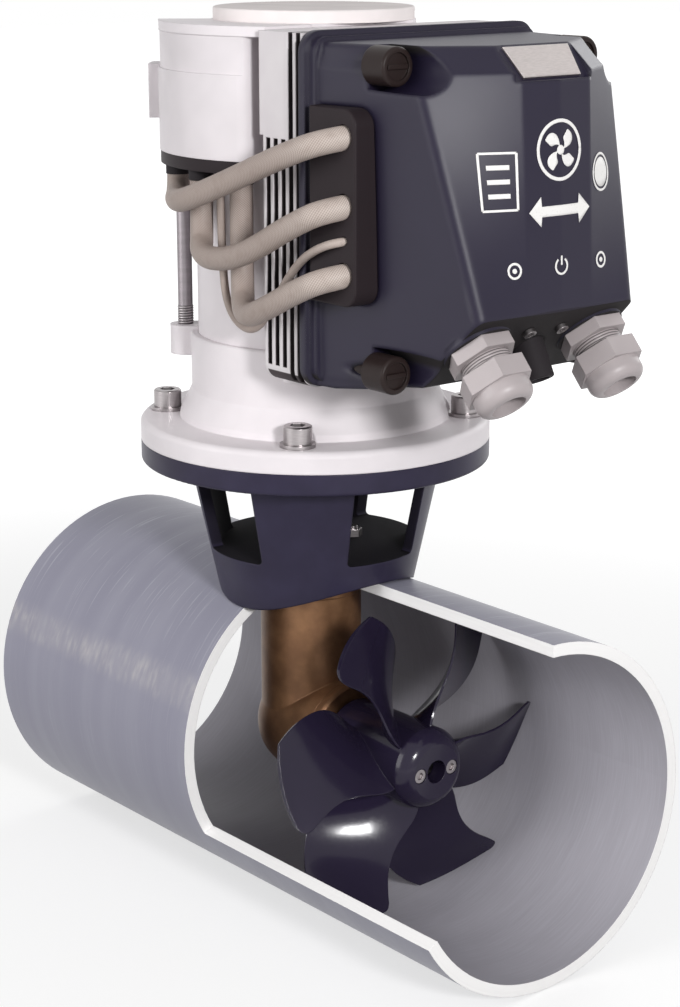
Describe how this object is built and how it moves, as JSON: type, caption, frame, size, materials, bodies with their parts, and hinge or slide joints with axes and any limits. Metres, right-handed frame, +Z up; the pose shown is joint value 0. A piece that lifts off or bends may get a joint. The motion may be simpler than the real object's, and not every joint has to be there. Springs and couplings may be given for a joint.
{
  "type": "bow thruster",
  "caption": "Electric bow thruster: propeller and gear leg in a cut-away tunnel, bracket, motor with side-mounted controller housing, cable glands.",
  "frame": {"origin": "where the tunnel's axis crosses the motor's axis, at the centre of the gear housing", "axes": "+Z up along the motor's axis, +X along the tunnel towards the propeller and the controller, +Y across"},
  "size_m": [0.4116, 0.2062, 0.522],
  "materials": {
    "grp": "satin",
    "dark_casting": "satin paint",
    "bronze": "cast",
    "steel": "satin",
    "white_casting": "satin paint",
    "white_steel": "satin paint",
    "white_plastic": "satin",
    "dark_plastic": "satin",
    "black_plastic": "matt",
    "propeller_plastic": "satin",
    "gland_plastic": "satin",
    "rubber": "matt",
    "cable_sheath": "satin",
    "lamination": "plain",
    "magnet": "plain",
    "copper": "turned",
    "carbon": "matt",
    "board": "gloss",
    "badge": "brushed"
  },
  "bodies": {
    "frame": {"tunnel": "grp", "saddle_gasket": "rubber", "mounting_bracket": "dark_casting", "gear_leg": "bronze", "leg_studs": "steel", "leg_nuts": "steel", "bearing_carrier": "bronze", "leg_bearings": "steel", "shaft_seals": "rubber", "motor_flange": "white_casting", "flange_bolts": "steel", "flange_washers": "steel", "motor_housing": "white_steel", "field_magnets": "magnet", "brush_ring": "black_plastic", "brushes": "carbon", "motor_bearings": "steel", "top_cap": "white_casting", "top_disc": "white_plastic", "tie_rods": "steel", "terminal_cover": "white_plastic", "terminal_plate": "black_plastic", "terminal_studs": "steel", "cable_lugs": "rubber", "power_cable_1": "cable_sheath", "power_cable_2": "cable_sheath", "power_cable_3": "cable_sheath", "signal_cable": "cable_sheath", "heat_sink": "white_casting", "cover_gasket": "rubber", "controller_cover": "dark_plastic", "cable_grommet": "black_plastic", "badge_plate": "badge", "gland_locknuts": "gland_plastic", "gland_bodies": "gland_plastic", "connector_boot": "rubber", "cover_screws": "steel", "controller_board": "board"},
    "rotor": {"armature": "lamination", "commutator": "copper", "motor_shaft": "steel", "coupling_upper": "steel", "coupling_spider": "rubber", "coupling_lower": "steel", "drive_shaft": "steel", "bevel_pinion": "steel"},
    "propeller": {"prop_shaft": "steel", "bevel_wheel": "steel", "propeller": "propeller_plastic", "hub_bolt": "steel", "hub_screws": "steel"},
    "knob_1": {"cover_knob_1": "black_plastic"},
    "knob_2": {"cover_knob_2": "black_plastic"},
    "knob_3": {"cover_knob_3": "black_plastic"},
    "knob_4": {"cover_knob_4": "black_plastic"},
    "seal_1": {"gland_seal_1": "rubber"},
    "cap_1": {"gland_cap_1": "gland_plastic"},
    "seal_2": {"gland_seal_2": "rubber"},
    "cap_2": {"gland_cap_2": "gland_plastic"}
  },
  "joints": [
    {"name": "motor_spin", "type": "hinge", "parent": "frame", "child": "rotor", "pos_m": [0, 0, 0.2], "axis": [0, 0, 1], "continuous": true},
    {"name": "propeller_spin", "type": "hinge", "parent": "frame", "child": "propeller", "pos_m": [0.07, 0, 0], "axis": [1, 0, 0], "continuous": true},
    {"name": "knob_1_turn", "type": "hinge", "parent": "frame", "child": "knob_1", "pos_m": [0.13, -0.065, 0.4], "axis": [1, 0, 0], "range_deg": [0, 90]},
    {"name": "knob_2_turn", "type": "hinge", "parent": "frame", "child": "knob_2", "pos_m": [0.13, 0.065, 0.4], "axis": [1, 0, 0], "range_deg": [0, 90]},
    {"name": "knob_3_turn", "type": "hinge", "parent": "frame", "child": "knob_3", "pos_m": [0.13, -0.065, 0.2445], "axis": [1, 0, 0], "range_deg": [0, 90]},
    {"name": "knob_4_turn", "type": "hinge", "parent": "frame", "child": "knob_4", "pos_m": [0.13, 0.065, 0.2445], "axis": [1, 0, 0], "range_deg": [0, 90]},
    {"name": "seal_1_slide", "type": "slide", "parent": "frame", "child": "seal_1", "axis": [-0.6685, 0, 0.7437], "range_m": [0, 0.00226]},
    {"name": "cap_1_turn", "type": "hinge", "parent": "seal_1", "child": "cap_1", "pos_m": [0.19519, -0.0397, 0.24526], "axis": [-0.6685, 0, 0.7437], "range_deg": [0, 540]},
    {"name": "seal_2_slide", "type": "slide", "parent": "frame", "child": "seal_2", "axis": [-0.6685, 0, 0.7437], "range_m": [0, 0.00226]},
    {"name": "cap_2_turn", "type": "hinge", "parent": "seal_2", "child": "cap_2", "pos_m": [0.19519, 0.0397, 0.24526], "axis": [-0.6685, 0, 0.7437], "range_deg": [0, 540]}
  ],
  "couplings": [
    {"joint": "propeller_spin", "follows": "motor_spin", "ratio": -0.5},
    {"joint": "seal_1_slide", "follows": "cap_1_turn", "m_per_rad": 0.00023873},
    {"joint": "seal_2_slide", "follows": "cap_2_turn", "m_per_rad": 0.00023873}
  ]
}
